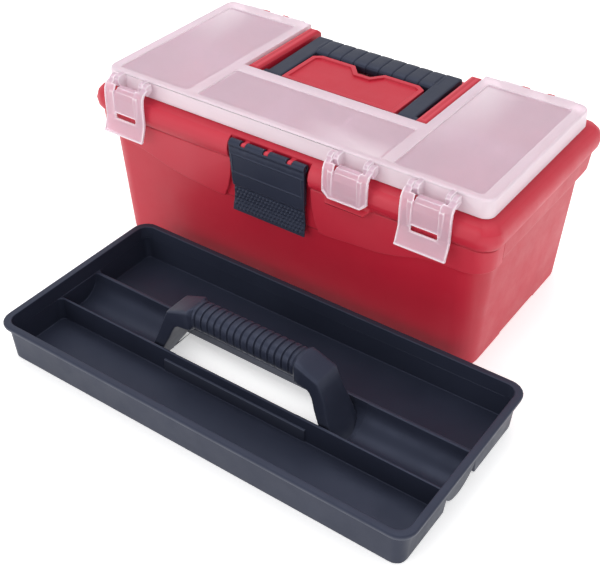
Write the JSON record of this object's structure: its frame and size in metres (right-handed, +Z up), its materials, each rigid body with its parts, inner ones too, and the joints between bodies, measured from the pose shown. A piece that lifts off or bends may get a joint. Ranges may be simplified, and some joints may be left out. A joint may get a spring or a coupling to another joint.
{
  "type": "toolbox with tray",
  "caption": "Plastic toolbox with a hinged lid, a clear latched organiser cover on the lid, a folding carry handle, a front latch and a lift-out tray with an arched handle.",
  "frame": {"origin": "centre of the tub's underside, on the floor", "axes": "+X along the box's length to the right of someone facing its front, +Y from the front (latch side) to the hinges, +Z up"},
  "size_m": [0.4538, 0.4078, 0.168],
  "materials": {
    "red": "satin, fine moulded grain",
    "black": "satin, smooth moulded",
    "frosted_clear": "frosted translucent polypropylene",
    "pin_steel": "plain steel rod"
  },
  "bodies": {
    "base": {"base_tub": "red", "lid_hinge_pin_left": "pin_steel", "lid_hinge_pin_right": "pin_steel"},
    "lid": {"lid_shell": "red", "lid_divider_left": "frosted_clear", "lid_divider_right": "frosted_clear", "lid_divider_front_left": "frosted_clear", "lid_divider_front_right": "frosted_clear", "cover_hinge_pin_left": "pin_steel", "cover_hinge_pin_right": "pin_steel", "handle_pivot_pin_left": "pin_steel", "handle_pivot_pin_right": "pin_steel", "main_latch_pin": "pin_steel"},
    "cover": {"organizer_cover": "frosted_clear", "cover_latch_pin_left": "pin_steel", "cover_latch_pin_middle": "pin_steel", "cover_latch_pin_right": "pin_steel"},
    "clip_left": {"cover_latch_left": "frosted_clear"},
    "clip_middle": {"cover_latch_middle": "frosted_clear"},
    "clip_right": {"cover_latch_right": "frosted_clear"},
    "latch": {"main_latch": "black"},
    "handle": {"carry_handle": "black"},
    "loose_tray": {"tray": "black"}
  },
  "joints": [
    {"name": "lid_hinge", "type": "hinge", "parent": "base", "child": "lid", "pos_m": [0, 0.108, 0.1265], "axis": [-1, 0, 0], "range_deg": [0, 105]},
    {"name": "cover_hinge", "type": "hinge", "parent": "lid", "child": "cover", "pos_m": [0, 0.0935, 0.1604], "axis": [-1, 0, 0], "range_deg": [0, 100]},
    {"name": "main_latch_hinge", "type": "hinge", "parent": "lid", "child": "latch", "pos_m": [-0.0045, -0.1016, 0.1458], "axis": [-1, 0, 0], "range_deg": [0, 100]},
    {"name": "clip_left_hinge", "type": "hinge", "parent": "cover", "child": "clip_left", "pos_m": [-0.1565, -0.0956, 0.1632], "axis": [-1, 0, 0], "range_deg": [0, 110]},
    {"name": "clip_middle_hinge", "type": "hinge", "parent": "cover", "child": "clip_middle", "pos_m": [0.074, -0.0956, 0.1632], "axis": [-1, 0, 0], "range_deg": [0, 110]},
    {"name": "clip_right_hinge", "type": "hinge", "parent": "cover", "child": "clip_right", "pos_m": [0.146, -0.0956, 0.1632], "axis": [-1, 0, 0], "range_deg": [0, 110]},
    {"name": "carry_handle_swing", "type": "hinge", "parent": "lid", "child": "handle", "pos_m": [0, -0.0055, 0.1582], "axis": [1, 0, 0], "range_deg": [0, 90]},
    {"name": "tray_lift", "type": "slide", "parent": "base", "child": "loose_tray", "axis": [0, 0, 1], "range_m": [0, 0.055]}
  ]
}
